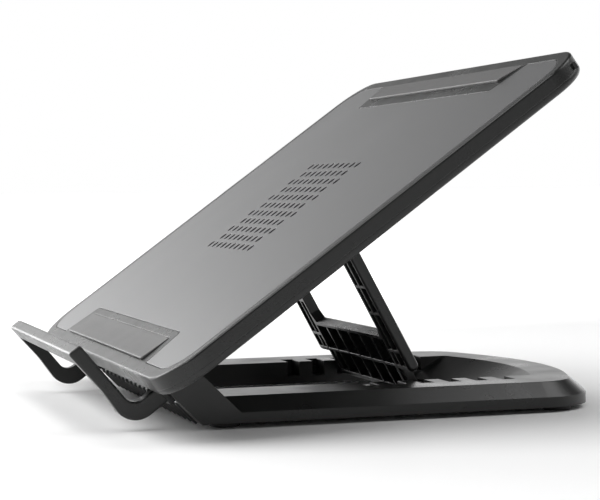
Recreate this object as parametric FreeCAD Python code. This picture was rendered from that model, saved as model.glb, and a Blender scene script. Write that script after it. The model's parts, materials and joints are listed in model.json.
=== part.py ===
"""Laptop cooling pad: a tilting plate with a slim fan, on a notched base with a fold-out prop.

Millimetres, +Z up. +X is the user's right, +Y runs from the user's edge to the rear, and the
floor is z = 0. The plate is drawn lying flat in its own frame (x, s from its front edge, n from
its top surface) and is then tilted about the hinge axis into place.
"""
import FreeCAD, Part
import math
import os

# ---------------------------------------------------------------- driving dimensions
TILT = 35.8              # plate angle in the stored pose, prop in the third notch
PLATE_W = 300.0
PLATE_D = 244.0
PLATE_T = 10.0           # thickness at the rim
CORNER_R = 22.0
SEAM_N = -6.5            # level where the upper frame meets the lower cover
SHEET_T = 1.0
WALL = 2.0               # general moulding thickness

BASE_TOP = 14.3          # top of the rails
FLANGE_TOP = 7.5
FOOT_H = 2.5             # the base moulding clears the floor by this much
RAIL_OUT = 88.8          # half width at the top of the rails
RAIL_IN = 57.4           # half width of the opening
FLANGE_OUT = 96.8        # half width at the flange
BASE_FRONT = -97.7
NOTCH_PITCH = 14.2
NOTCH_COUNT = 6
NOTCH_LEN = 6.7
NOTCH_FIRST = -6.8       # centre of the notch nearest the user
NOTCH_FLOOR = 6.6

HINGE_S = 14.2           # plate hinge in the plate's own frame
HINGE_N = -7.5
HINGE_Y = -114.0         # and in the base's frame
HINGE_Z = 30.3
PROP_S = 124.6           # prop hinge in the plate's own frame
PROP_N = -8.6
PROP_OUT = 70.0          # half width over the prop's legs
PROP_T = 5.6
PROP_TIP = (21.6, 9.6)   # centre of the prop's rounded tip, in the third notch

FAN_SIZE = 60.0
FAN_T = 8.0
FAN_CORNER_R = 3.0
FAN_S = 123.6            # the vent block and the fan share this centre
SLOT_PITCH_X = 8.4
SLOT_PITCH_S = 6.86
SLOT_ROWS = 11
SLOTS_IN_ROW = 10        # and one fewer in every second row
SLOT_LEN = 4.7
SLOT_W = 3.9

STOP_OUT = 87.6          # half width of the laptop stop
STOP_ARM_W = 6.0
STOP_TOP_S = (-17.2, -10.4)      # front and rear of the bar along its top
STOP_FACE_S = -14.9      # front of the arms at their elbows
STOP_TOP_N = 22.3
STOP_RUN_N = (-23.2, -14.8)
STOP_END_S = 23.0

PIN_R = 2.0
RUN_CLEAR = 0.05         # radial clearance of a running fit
NEARLY_ROUND = 0.98      # share of a half width that a round end's radius may take

# ---------------------------------------------------------------- small helpers
V = FreeCAD.Vector
parts = {}


def box(x0, x1, y0, y1, z0, z1):
    """Box between two corners."""
    return Part.makeBox(x1 - x0, y1 - y0, z1 - z0, V(x0, y0, z0))


def fuse(shapes):
    """One solid from touching or overlapping ones, with merged faces."""
    return shapes[0].fuse(shapes[1:]).removeSplitter()


def cut(shape, tools):
    """Shape with every tool taken away."""
    return shape.cut(tools[0].fuse(tools[1:]) if len(tools) > 1 else tools[0])


def mirrored(shape):
    """The same shape on the other side of the centre plane."""
    return shape.mirror(V(0, 0, 0), V(1, 0, 0))


def both(shape):
    """Shape and its mirror image as one compound."""
    return Part.makeCompound([shape, mirrored(shape)])


def rounded_wire(corners, z=0.0):
    """Closed wire in the plane z through (x, y, radius) corners, each rounded by its radius."""
    points = [V(x, y, z) for x, y, _ in corners]
    count = len(points)
    spans = []
    for i, (_, _, radius) in enumerate(corners):
        here, before, after = points[i], points[i - 1], points[(i + 1) % count]
        to_before = (before - here).normalize()
        to_after = (after - here).normalize()
        if radius <= 0:
            spans.append((here, None, here))
            continue
        half = to_before.getAngle(to_after) / 2
        reach = radius / math.tan(half)
        centre = here + (to_before + to_after).normalize() * (radius / math.sin(half))
        middle = centre + (here - centre).normalize() * radius
        spans.append((here + to_before * reach, middle, here + to_after * reach))
    edges = []
    for i, (start, middle, end) in enumerate(spans):
        if middle is not None:
            edges.append(Part.Arc(start, middle, end).toShape())
        following = spans[(i + 1) % count][0]
        if (following - end).Length > 1e-6:
            edges.append(Part.LineSegment(end, following).toShape())
    return Part.Wire(edges)


def slab(corners, z0, z1):
    """Prism over a rounded outline."""
    return Part.Face(rounded_wire(corners, z0)).extrude(V(0, 0, z1 - z0))


def placed(shape, origin, rotation):
    """Rigidly moved copy."""
    moved = shape.copy()
    moved.Placement = FreeCAD.Placement(origin, rotation).multiply(moved.Placement)
    return moved


def profile_x(corners, x0, x1):
    """Prism along X over a rounded outline given as (y, z, radius)."""
    flat = Part.Face(rounded_wire(corners, 0.0)).extrude(V(0, 0, x1 - x0))
    turn = FreeCAD.Rotation(V(0, 1, 0), V(0, 0, 1), V(1, 0, 0), "ZXY")
    return placed(flat, V(x0, 0, 0), turn)


def rod_x(x0, x1, y, z, r):
    """Round bar along X."""
    return Part.makeCylinder(r, x1 - x0, V(x0, y, z), V(1, 0, 0))


def rod_z(x, y, z0, z1, r):
    """Round bar along Z."""
    return Part.makeCylinder(r, z1 - z0, V(x, y, z0), V(0, 0, 1))


def edges_where(shape, test):
    """Edges that pass the test at their middle and at both quarter points."""
    found = []
    for edge in shape.Edges:
        low, high = edge.FirstParameter, edge.LastParameter
        if all(test(edge.valueAt(low + (high - low) * share)) for share in (0.25, 0.5, 0.75)):
            found.append(edge)
    return found


def rect(half_x, y0, y1, r):
    """Corners of a rounded rectangle centred on x = 0."""
    return [(-half_x, y0, r), (half_x, y0, r), (half_x, y1, r), (-half_x, y1, r)]


def fan_square(grow):
    """Corners of the fan's square outline, grown on every side."""
    half = FAN_SIZE / 2 + grow
    return rect(half, FAN_S - half, FAN_S + half, FAN_CORNER_R)


# ---------------------------------------------------------------- placing the plate
COS_TILT = math.cos(math.radians(TILT))
SIN_TILT = math.sin(math.radians(TILT))
FRONT_Y = HINGE_Y - HINGE_S * COS_TILT + HINGE_N * SIN_TILT
FRONT_Z = HINGE_Z - HINGE_S * SIN_TILT - HINGE_N * COS_TILT


def plate_point(x, s, n):
    """Plate-frame point in the base's frame."""
    return V(x, FRONT_Y + s * COS_TILT - n * SIN_TILT, FRONT_Z + s * SIN_TILT + n * COS_TILT)


def add_on_plate(name, shape):
    """Keep a piece that was drawn in the plate's own frame."""
    parts[name] = placed(shape, V(0, FRONT_Y, FRONT_Z), FreeCAD.Rotation(V(1, 0, 0), TILT))


PROP_HINGE = plate_point(0, PROP_S, PROP_N)
PROP_LEN = math.hypot(PROP_TIP[0] - PROP_HINGE.y, PROP_TIP[1] - PROP_HINGE.z)
PROP_LEAN = math.degrees(math.atan2(PROP_HINGE.z - PROP_TIP[1], PROP_TIP[0] - PROP_HINGE.y))
PROP_FOLD = PROP_LEAN + TILT     # turn from the stored pose to lying flat in the plate

# ---------------------------------------------------------------- top sheet
SHEET_SIDE = 6.0         # plastic rim left showing at the sides
SHEET_END = 7.3          # and at the front and rear
SHEET_GAP = 0.35         # groove round the sheet
CUTOUT_OUT = 100.0       # half width of a cut-out at the sheet's edge
CUTOUT_IN = 94.0         # and at its bottom
CUTOUT_D = 21.5
CUTOUT_R = 3.0


def sheet_corners(grow):
    """Outline of the sheet, with a trapezoid cut-out at its front and rear."""
    side = PLATE_W / 2 - SHEET_SIDE + grow
    front = SHEET_END - grow
    rear = PLATE_D - SHEET_END + grow
    radius = CORNER_R - SHEET_SIDE + grow
    wide = CUTOUT_OUT - grow
    narrow = CUTOUT_IN - grow
    near = front + CUTOUT_D
    far = rear - CUTOUT_D
    return [
        (-side, front, radius), (-wide, front, 0), (-narrow, near, CUTOUT_R), (narrow, near, CUTOUT_R),
        (wide, front, 0), (side, front, radius),
        (side, rear, radius), (wide, rear, 0), (narrow, far, CUTOUT_R), (-narrow, far, CUTOUT_R),
        (-wide, rear, 0), (-side, rear, radius),
    ]


def vent_slots():
    """Staggered rows of round-ended slots, ten and nine to a row."""
    slots = []
    half = SLOT_W / 2
    reach = SLOT_LEN / 2
    r = half * NEARLY_ROUND
    for row in range(SLOT_ROWS):
        count = SLOTS_IN_ROW - row % 2
        s = FAN_S + (row - (SLOT_ROWS - 1) / 2) * SLOT_PITCH_S
        for i in range(count):
            x = (i - (count - 1) / 2) * SLOT_PITCH_X
            outline = [(x - half, s - reach, r), (x + half, s - reach, r),
                       (x + half, s + reach, r), (x - half, s + reach, r)]
            slots.append(slab(outline, -SHEET_T - 1, 1))
    return slots


sheet = slab(sheet_corners(0), -SHEET_T, 0)
add_on_plate("top_sheet", cut(sheet, vent_slots()))

# ---------------------------------------------------------------- pads
PAD_SINK = 1.0           # depth of the pocket that a pad is glued into
PAD_PROUD = 1.3          # height of its raised edge over the sheet
PAD_LOW = 0.25           # height of its flush edge
PAD_R = 1.2
FRONT_PAD = (90.3, 89.0, SHEET_END + 0.2, 24.0)              # half widths, then s of both edges
REAR_PAD = (91.5, 95.5, PLATE_D - 21.0, PLATE_D - SHEET_END)


def pad_slab(spot, low, high):
    """Four-sided slab over a pad's outline."""
    front_half, rear_half, s0, s1 = spot
    return slab([(-front_half, s0, PAD_R), (front_half, s0, PAD_R),
                 (rear_half, s1, PAD_R), (-rear_half, s1, PAD_R)], low, high)


def pad(spot):
    """Rubber wedge whose top slopes down from its front edge."""
    s0, s1 = spot[2:]
    side = PLATE_W / 2
    above = [V(-side, s0, PAD_PROUD), V(-side, s0, PLATE_T), V(-side, s1, PLATE_T), V(-side, s1, PAD_LOW)]
    slope = Part.Face(Part.makePolygon(above + above[:1])).extrude(V(PLATE_W, 0, 0))
    return pad_slab(spot, -PAD_SINK, PAD_PROUD).cut(slope)


add_on_plate("front_pad", pad(FRONT_PAD))
add_on_plate("rear_pad", pad(REAR_PAD))


# ---------------------------------------------------------------- upper frame
FLOOR_TOP = -SHEET_T
FLOOR_N = FLOOR_TOP - 1.8        # underside of the frame's floor
FAN_TOP = FLOOR_TOP - 0.2
FAN_BOTTOM = FAN_TOP - FAN_T
SCREW_SPOTS = [(-128, 22), (128, 22), (-136, 122), (136, 122), (-128, 222), (128, 222)]
SCREW_R = 1.5
HEAD_R = 3.0
BOSS_R = 3.6
BOSS_END = SEAM_N - 0.1
FRAME_RIB_T = 1.6
FRAME_RIBS_S = (40.0, 70.0, PLATE_D - 7.2)
FIT = 0.3                # gap left round a piece that is dropped in
VENT_HALF = (40.5, 38.0)         # half size of the opening under the slots
INLET_X = -114.0
SOCKET_HALF = 5.4
SOCKET_D = 11.2
SOCKET_SET = 0.8         # the socket's face sits this far in from the rear
BOARD_HALF = 8.0
BOARD_S = (PLATE_D - 20.0, PLATE_D - 5.2)
BOARD_N = (-4.4, -3.4)


def upper_frame():
    """Shell with a recessed floor for the sheet, a fan window and screw bosses."""
    half = PLATE_W / 2
    body = slab(rect(half, 0, PLATE_D, CORNER_R), SEAM_N, 0)
    body = body.makeFillet(1.1, edges_where(body, lambda p: abs(p.z) < 1e-6))
    hollow = slab(rect(half - WALL, WALL, PLATE_D - WALL, CORNER_R - WALL), SEAM_N, FLOOR_N)
    body = cut(body, [hollow, slab(sheet_corners(SHEET_GAP), FLOOR_TOP, 1),
                      pad_slab(FRONT_PAD, -PAD_SINK, 1), pad_slab(REAR_PAD, -PAD_SINK, 1)])
    bosses = [rod_z(x, s, BOSS_END, FLOOR_N, BOSS_R) for x, s in SCREW_SPOTS]
    span = half - 2 * WALL
    ribs = [box(-span, span, s - FRAME_RIB_T / 2, s + FRAME_RIB_T / 2, SEAM_N + 0.6, FLOOR_N)
            for s in FRAME_RIBS_S]
    body = fuse([body] + ribs + bosses)
    wide, deep = VENT_HALF
    cuts = [rod_z(x, s, BOSS_END - 1, FLOOR_N, SCREW_R) for x, s in SCREW_SPOTS]
    cuts.append(slab(fan_square(FIT), -PLATE_T, 1))
    cuts.append(box(-wide, wide, FAN_S - deep, FAN_S + deep, FLOOR_N - 0.1, FLOOR_TOP + 0.1))
    cuts.append(box(INLET_X - SOCKET_HALF - 0.2, INLET_X + SOCKET_HALF + 0.2,
                    PLATE_D - SOCKET_SET - SOCKET_D - 0.2, PLATE_D + 1, SEAM_N - 1, BOARD_N[0] + 0.1))
    cuts.append(box(INLET_X - BOARD_HALF - FIT, INLET_X + BOARD_HALF + FIT,
                    BOARD_S[0] - 0.5, BOARD_S[1] + 0.2, SEAM_N - 1, BOARD_N[1] + 0.2))
    return cut(body, cuts)


add_on_plate("upper_frame", upper_frame())

# ---------------------------------------------------------------- lower cover
COVER_FLOOR = -PLATE_T + 1.8
TRAY_ROOF = -5.0         # top of the recess that the folded prop lies in
TRAY_SKIN = 1.3
TRAY_GAP = 1.2
LEG_IN = 53.0            # inner side of a prop leg
WEB_START = 64.3         # distance from the prop hinge to the start of its web
GUSSET = (3.0, 5.0)      # corner piece between a leg and the web
BUMP_N = -11.6           # lowest level of the cover, under the fan
BUMP_EDGE = 5.0          # the bump is this much wider than the fan on each side
ARM_X = (89.0, FLANGE_OUT)       # both sides of a base arm
EAR_GAP = 0.6
EAR_T = 5.0
EAR_R = 4.3
EAR_HALF = EAR_R + 1.5
SEAT_T = 4.8             # seats of the prop pins, on both sides of a leg
SEAT_R = 4.0
EARS_X = ((ARM_X[0] - EAR_GAP - EAR_T, ARM_X[0] - EAR_GAP), (ARM_X[1] + EAR_GAP, ARM_X[1] + EAR_GAP + EAR_T))
SEATS_X = ((LEG_IN - TRAY_GAP - SEAT_T, LEG_IN - TRAY_GAP),
           (PROP_OUT + TRAY_GAP, PROP_OUT + TRAY_GAP + SEAT_T))
PLATE_PIN = rod_x(EARS_X[0][0], EARS_X[1][1], HINGE_S, HINGE_N, PIN_R)
PROP_PIN = rod_x(SEATS_X[0][0], SEATS_X[1][1], PROP_S, PROP_N, PIN_R)


def tray(grow, n0, n1):
    """Space of the folded prop: two leg slots joined by a wide web slot, grown sideways."""
    s0 = PROP_S - 7 - grow
    s1 = PROP_S + PROP_LEN + 3.5 + grow
    web_s = PROP_S + WEB_START - GUSSET[1] - 2 - grow
    leg = box(LEG_IN - TRAY_GAP - grow, PROP_OUT + TRAY_GAP + grow, s0, s1, n0, n1)
    return fuse([leg, mirrored(leg), box(-PROP_OUT, PROP_OUT, web_s, s1, n0, n1)])


def fan_grille():
    """Four rings of opening, broken by a cross of spokes."""
    reach = FAN_SIZE / 2 + 2
    rings = []
    for ring in range(4):
        inner = 8.5 + ring * 6.0
        band = rod_z(0, FAN_S, BUMP_N - 1, -PLATE_T + 4, inner + 4.2)
        rings.append(band.cut(rod_z(0, FAN_S, BUMP_N - 2, -PLATE_T + 5, inner)))
    spokes = [box(-1.3, 1.3, FAN_S - reach, FAN_S + reach, BUMP_N - 2, 0),
              box(-reach, reach, FAN_S - 1.3, FAN_S + 1.3, BUMP_N - 2, 0)]
    return cut(fuse(rings), spokes)


def hinge_ear(x0, x1):
    """Rounded ear under the plate that holds one end of the plate hinge's pin."""
    ear = rod_x(x0, x1, HINGE_S, HINGE_N, EAR_R)
    return fuse([ear, box(x0, x1, HINGE_S - EAR_HALF, HINGE_S + EAR_HALF, -PLATE_T, HINGE_N)])


def prop_seat(x0, x1):
    """Block in the recess that holds one end of a prop pin."""
    seat = fuse([box(x0, x1, PROP_S - 4.5, PROP_S + 4.5, PROP_N - 2.0, TRAY_ROOF),
                 rod_x(x0, x1, PROP_S, PROP_N, SEAT_R)])
    return seat.cut(PROP_PIN)


def lower_cover():
    """Shallow shell with the prop's recess, the fan grille and the hinge ears."""
    half = PLATE_W / 2
    body = slab(rect(half, 0, PLATE_D, CORNER_R), -PLATE_T, SEAM_N)
    body = body.makeFillet(2.6, edges_where(body, lambda p: abs(p.z + PLATE_T) < 1e-6))
    body = body.cut(slab(rect(half - WALL, WALL, PLATE_D - WALL, CORNER_R - WALL), COVER_FLOOR, SEAM_N))
    bump = slab(fan_square(BUMP_EDGE), BUMP_N, COVER_FLOOR)
    bump = bump.makeFillet(1.2, edges_where(bump, lambda p: abs(p.z - BUMP_N) < 1e-6))
    added = [bump, tray(TRAY_SKIN, -PLATE_T, TRAY_ROOF + TRAY_SKIN)]
    added += [rod_z(x, s, -PLATE_T, BOSS_END, HEAD_R + 1.6) for x, s in SCREW_SPOTS]
    for x0, x1 in EARS_X:
        ear = hinge_ear(x0, x1)
        added += [ear, mirrored(ear)]
    body = fuse([body] + added)
    knuckle_room = box(ARM_X[0] - EAR_GAP, ARM_X[1] + EAR_GAP, HINGE_S - 8, HINGE_S + 13,
                       -PLATE_T - 1, SEAM_N + 1)
    tools = [fan_grille(), slab(fan_square(FIT), FAN_BOTTOM, 0), tray(0, -PLATE_T - 3, TRAY_ROOF),
             both(knuckle_room), both(PLATE_PIN), both(PROP_PIN)]
    for x, s in SCREW_SPOTS:
        tools.append(rod_z(x, s, -PLATE_T - 1, COVER_FLOOR + 0.2, HEAD_R + FIT))
        tools.append(rod_z(x, s, -PLATE_T - 1, SEAM_N + 1, SCREW_R + FIT / 2))
    tools.append(box(INLET_X - SOCKET_HALF - 0.2, INLET_X + SOCKET_HALF + 0.2,
                     PLATE_D - SOCKET_SET - SOCKET_D - 0.2, PLATE_D + 1, -PLATE_T + 0.3, SEAM_N + 0.4))
    body = cut(body, tools)
    seats = [both(prop_seat(x0, x1)) for x0, x1 in SEATS_X]
    return fuse([body] + [solid for seat in seats for solid in seat.Solids])


add_on_plate("lower_cover", lower_cover())

# ---------------------------------------------------------------- screws and pins of the plate
HEAD_BOTTOM = -PLATE_T + 0.3
screws = []
for x, s in SCREW_SPOTS:
    head = rod_z(x, s, HEAD_BOTTOM, COVER_FLOOR + 0.2, HEAD_R)
    screws.append(fuse([head, rod_z(x, s, COVER_FLOOR + 0.2, FLOOR_N - 0.6, SCREW_R)]))
add_on_plate("cover_screws", Part.makeCompound(screws))
add_on_plate("plate_hinge_pins", both(PLATE_PIN))
add_on_plate("prop_hinge_pins", both(PROP_PIN))

# ---------------------------------------------------------------- fan
SHAFT_R = 1.0
BEARING_R = 2.4
HUB_R = 12.0
HUB_WALL = 1.0
HUB_LOW = FAN_BOTTOM + 2.0
HUB_TOP = FAN_TOP - 0.5
BEARING_TOP = HUB_TOP - 2.9
STRUT_T = 1.4
BLADE_TIP = 27.4
BLADE_COUNT = 7
BLADE_PITCH = 27.0
BLADE_CHORD = 10.0
THROAT_R = FAN_SIZE / 2 - 1.6


def fan_bar(inner, outer, half_w, low, high, angle):
    """Radial bar round the fan's axis."""
    bar = box(inner, outer, FAN_S - half_w, FAN_S + half_w, low, high)
    bar.rotate(V(0, FAN_S, 0), V(0, 0, 1), angle)
    return bar


def fan_rod(low, high, r):
    """Disc or rod on the fan's axis."""
    return rod_z(0, FAN_S, low, high, r)


def fan_frame():
    """Square frame with a round throat, a motor plate and three struts."""
    body = slab(fan_square(0), FAN_BOTTOM, FAN_TOP)
    body = body.cut(fan_rod(FAN_BOTTOM - 1, FAN_TOP + 1, THROAT_R))
    struts = [fan_bar(HUB_R - 2, THROAT_R + 0.8, 1.2, FAN_BOTTOM, FAN_BOTTOM + STRUT_T, 30 + 120 * i)
              for i in range(3)]
    body = fuse([body, fan_rod(FAN_BOTTOM, FAN_BOTTOM + STRUT_T, HUB_R)] + struts)
    hole = FAN_SIZE / 2 - 3.5
    holes = [rod_z(x, FAN_S + y, FAN_BOTTOM - 1, FAN_TOP + 1, 1.0)
             for x in (-hole, hole) for y in (-hole, hole)]
    return cut(body, holes + [fan_rod(FAN_BOTTOM - 1, FAN_BOTTOM + 2, BEARING_R)])


def fan_rotor():
    """Hub cup with twisted blades."""
    hub = fan_rod(HUB_LOW, HUB_TOP, HUB_R).cut(fan_rod(HUB_LOW - 1, HUB_TOP - HUB_WALL, HUB_R - HUB_WALL))
    hub = fuse([hub, fan_rod(HUB_TOP - 2.6, HUB_TOP - HUB_WALL, BEARING_R)])
    hub = hub.cut(fan_rod(HUB_LOW, HUB_TOP + 1, SHAFT_R))
    sweep = fan_rod(HUB_LOW, HUB_TOP, BLADE_TIP).cut(fan_rod(-PLATE_T, 0, HUB_R - 0.6))
    blades = []
    for i in range(BLADE_COUNT):
        blade = box(HUB_R - 0.5, BLADE_TIP, FAN_S - BLADE_CHORD / 2, FAN_S + BLADE_CHORD / 2, -0.5, 0.5)
        blade.rotate(V(0, FAN_S, 0), V(1, 0, 0), BLADE_PITCH)
        blade.translate(V(0, 0, (HUB_TOP + HUB_LOW) / 2))
        blade.rotate(V(0, FAN_S, 0), V(0, 0, 1), 360 / BLADE_COUNT * i)
        blades.append(blade.common(sweep))
    return fuse([hub] + blades)


def fan_stator():
    """Four-pole stack round the bearing."""
    stack = fan_rod(FAN_BOTTOM + STRUT_T, BEARING_TOP, HUB_R - 2.8).cut(fan_rod(-PLATE_T, 0, BEARING_R))
    gaps = [fan_bar(BEARING_R + 2.5, HUB_R, 1.0, HUB_LOW + 0.2, 0, 45 + 90 * i) for i in range(4)]
    return cut(stack, gaps)


add_on_plate("fan_frame", fan_frame())
add_on_plate("fan_rotor", fan_rotor())
add_on_plate("fan_shaft", fan_rod(FAN_BOTTOM + 0.6, HUB_TOP - 0.2, SHAFT_R))
magnet = fan_rod(HUB_LOW + 0.2, HUB_TOP - HUB_WALL, HUB_R - HUB_WALL)
add_on_plate("fan_magnet_ring", magnet.cut(fan_rod(-PLATE_T, 0, HUB_R - 2.2)))
bearing = fan_rod(FAN_BOTTOM + 0.2, BEARING_TOP, BEARING_R)
add_on_plate("fan_bearing", bearing.cut(fan_rod(-PLATE_T, 0, SHAFT_R + RUN_CLEAR)))
add_on_plate("fan_stator", fan_stator())

# ---------------------------------------------------------------- power inlet and lead
LEAD_R = 0.9
LEAD_N = FLOOR_N - LEAD_R - 0.15
LEAD_PATH = [(-FAN_SIZE / 2, 107.0), (-57.0, 107.0), (-81.0, 110.0), (-95.0, 128.0), (-93.0, 156.0),
             (-89.0, 182.0), (-99.0, 205.0), (-111.0, 209.0), (-111.0, BOARD_S[0])]


def fan_lead():
    """Lead from the side of the fan to the inlet board, laid in wide bends inside the shell."""
    points = [V(x, s, LEAD_N) for x, s in LEAD_PATH]
    edges = []
    last = points[0]
    for before, here, after in zip(points, points[1:], points[2:]):
        back = before - here
        ahead = after - here
        reach = 0.45 * min(back.Length, ahead.Length)
        half = back.getAngle(ahead) / 2
        back.normalize()
        ahead.normalize()
        radius = reach * math.tan(half)
        centre = here + (back + ahead).normalize() * (radius / math.sin(half))
        middle = centre + (here - centre).normalize() * radius
        edges.append(Part.LineSegment(last, here + back * reach).toShape())
        edges.append(Part.Arc(here + back * reach, middle, here + ahead * reach).toShape())
        last = here + ahead * reach
    edges.append(Part.LineSegment(last, points[-1]).toShape())
    ring = Part.Wire(Part.makeCircle(LEAD_R, points[0], points[1] - points[0]))
    return Part.Wire(edges).makePipeShell([ring], True, True)


def power_inlet():
    """Open-mouthed socket shell with a contact tongue."""
    rear = PLATE_D - SOCKET_SET
    low, high = SEAM_N - 3.0, BOARD_N[0]
    shell = box(INLET_X - SOCKET_HALF, INLET_X + SOCKET_HALF, rear - SOCKET_D, rear, low, high)
    shell = shell.cut(box(INLET_X - SOCKET_HALF + 0.8, INLET_X + SOCKET_HALF - 0.8,
                          rear - SOCKET_D + 2.5, rear + 1, low + 0.8, high - 0.8))
    middle = (low + high) / 2
    tongue = box(INLET_X - 3.2, INLET_X + 3.2, rear - SOCKET_D + 2, rear - 1.6, middle - 0.4, middle + 0.4)
    return fuse([shell, tongue])


add_on_plate("inlet_board", box(INLET_X - BOARD_HALF, INLET_X + BOARD_HALF, *BOARD_S, *BOARD_N))
add_on_plate("power_inlet", power_inlet())
add_on_plate("fan_lead", fan_lead())

# ---------------------------------------------------------------- laptop stop
STOP_T = 7.0             # thickness of the arms, front to back
BAR_LOW = STOP_TOP_N - 7.2
ELBOW_R = 11.0
ELBOW_IN_R = 5.5
FACE_BEND_R = 40.0       # slight bend where the front starts to lean
TIP_R = 1.4
STOP_EDGE_R = 1.0
GUIDE_S = (6.0, 20.8)
GUIDE_FLOOR = 1.4
GUIDE_WALL = 1.2
GUIDE_GAP = 0.15
FLANGE_W = 7.5
FLANGE_T = 2.0
GUIDE_X = (STOP_OUT - STOP_ARM_W - GUIDE_GAP, STOP_OUT + GUIDE_GAP)
GUIDE_SCREW = (GUIDE_X[0] - 4.7, 13.4)


STOP_FRONT = ((STOP_FACE_S, 0.0), (STOP_TOP_S[0], STOP_TOP_N))       # leaning lines of the front and rear
STOP_REAR = ((STOP_FACE_S + STOP_T, STOP_RUN_N[1]), (STOP_TOP_S[1], STOP_TOP_N))


def on_line(line, n):
    """s at a height on a straight line between two (s, n) points."""
    (s0, n0), (s1, n1) = line
    return s0 + (s1 - s0) * (n - n0) / (n1 - n0)


def laptop_stop():
    """Cross bar on two J-shaped arms whose lower runs go under the plate, in one moulding."""
    low, high = STOP_RUN_N
    top = [(STOP_TOP_S[1], STOP_TOP_N, TIP_R), (STOP_TOP_S[0], STOP_TOP_N, TIP_R)]
    arm = profile_x([(STOP_FACE_S, low, ELBOW_R), (STOP_END_S, low, TIP_R), (STOP_END_S, high, TIP_R),
                     (*STOP_REAR[0], ELBOW_IN_R), *top, (*STOP_FRONT[0], FACE_BEND_R)],
                    STOP_OUT - STOP_ARM_W, STOP_OUT)
    arm = arm.makeFillet(STOP_EDGE_R, edges_where(arm, lambda p: abs(p.x - STOP_OUT) < 1e-6))
    bar = profile_x([(on_line(STOP_FRONT, BAR_LOW), BAR_LOW, 0),
                     (on_line(STOP_REAR, BAR_LOW), BAR_LOW, 0), *top],
                    -STOP_OUT + STOP_ARM_W, STOP_OUT - STOP_ARM_W)
    return fuse([bar, arm, mirrored(arm)])


def stop_guide():
    """Sleeve that an arm's run slides in, with a screw flange and room for the hinge ear."""
    low, high = STOP_RUN_N
    x0, x1 = GUIDE_X
    s0, s1 = GUIDE_S
    sleeve = box(x0 - GUIDE_WALL, x1 + 1.0, s0, s1, low - GUIDE_GAP - GUIDE_FLOOR, -PLATE_T)
    flange = slab([(x0 - GUIDE_WALL - FLANGE_W, s0 + 1, 3), (x0, s0 + 1, 0), (x0, s1 - 1, 0),
                   (x0 - GUIDE_WALL - FLANGE_W, s1 - 1, 3)], -PLATE_T - FLANGE_T, -PLATE_T)
    body = fuse([sleeve, flange])
    ear_room = box(EARS_X[0][0] - FIT, EARS_X[0][1] + 5, HINGE_S - EAR_HALF - FIT, HINGE_S + EAR_HALF + FIT,
                   HINGE_N - EAR_R - FIT, -PLATE_T)
    return cut(body, [box(x0, x1, s0 - 1, s1 + 1, low - GUIDE_GAP, high + GUIDE_GAP), ear_room,
                      rod_z(*GUIDE_SCREW, -PLATE_T - FLANGE_T, -PLATE_T, SCREW_R)])


guide = stop_guide()
add_on_plate("laptop_stop", laptop_stop())
add_on_plate("stop_guide_right", guide)
add_on_plate("stop_guide_left", mirrored(guide))
guide_screw = fuse([rod_z(*GUIDE_SCREW, -PLATE_T - FLANGE_T - 1.4, -PLATE_T - FLANGE_T, 2.6),
                    rod_z(*GUIDE_SCREW, -PLATE_T - FLANGE_T, -PLATE_T, SCREW_R)])
add_on_plate("guide_screws", both(guide_screw))

# ---------------------------------------------------------------- prop
TONGUE_OUT = RAIL_IN - 0.4       # the tongues hang just inside the rails
TONGUE_IN = 47.0
TONGUE_R = 2.0
RIM_END = 84.0                   # the legs' outer rims stop here, above the rails
TONGUE_START = RIM_END - 3
PROP_SKIN = 1.6
LEG_RIB_X = (59.4, 60.8)
LEG_CELLS = (8.0, 36.0, 51.0, 72.0, TONGUE_START)
WEB_CELLS = (WEB_START + 1.2, 81.0, PROP_LEN - 1.1)
WEB_COLUMNS = 6
CELL_RIB = 0.7                   # half thickness of the ribs between cells


def prop_leg():
    """Channel-section leg with cross ribs, an eye at the top and a tongue at the bottom."""
    half = PROP_T / 2
    r = half * NEARLY_ROUND
    tongue_r = TONGUE_R * NEARLY_ROUND
    low = -PROP_LEN - TONGUE_R
    leg = profile_x([(-half, 1.0, 0), (half, 1.0, 0), (half, -RIM_END, r), (-half, -RIM_END, r)],
                    LEG_IN, PROP_OUT)
    tongue = profile_x([(-TONGUE_R, -TONGUE_START, 0), (TONGUE_R, -TONGUE_START, 0),
                        (TONGUE_R, low, tongue_r), (-TONGUE_R, low, tongue_r)],
                       TONGUE_IN, TONGUE_OUT)
    leg = fuse([leg, rod_x(LEG_IN, PROP_OUT, 0, 0, half), tongue])
    rim = edges_where(leg, lambda p: abs(p.x - PROP_OUT) < 1e-6 and p.y > half - 1e-3 and p.z < 0.5)
    leg = leg.makeFillet(1.6, rim)
    cells = []
    for upper, lower in zip(LEG_CELLS, LEG_CELLS[1:]):
        for x0, x1 in ((LEG_IN + PROP_SKIN, LEG_RIB_X[0]), (LEG_RIB_X[1], PROP_OUT - 2.2)):
            cells.append(box(x0, x1, -half - 1, half - PROP_SKIN, CELL_RIB - lower, -upper - CELL_RIB))
    return cut(leg, cells)


def prop_web():
    """Wide cross web with two rows of cells on its open side."""
    half = PROP_T / 2
    web = box(-LEG_IN, LEG_IN, -half, half, -PROP_LEN - 0.5, -WEB_START)
    pitch = 2 * LEG_IN / WEB_COLUMNS
    cells = []
    for i in range(WEB_COLUMNS):
        x0 = -LEG_IN + i * pitch + CELL_RIB
        x1 = x0 + pitch - 2 * CELL_RIB
        for upper, lower in zip(WEB_CELLS, WEB_CELLS[1:]):
            cells.append(box(x0, x1, -half - 1, half - PROP_SKIN, CELL_RIB - lower, -upper - CELL_RIB))
    return cut(web, cells)


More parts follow.
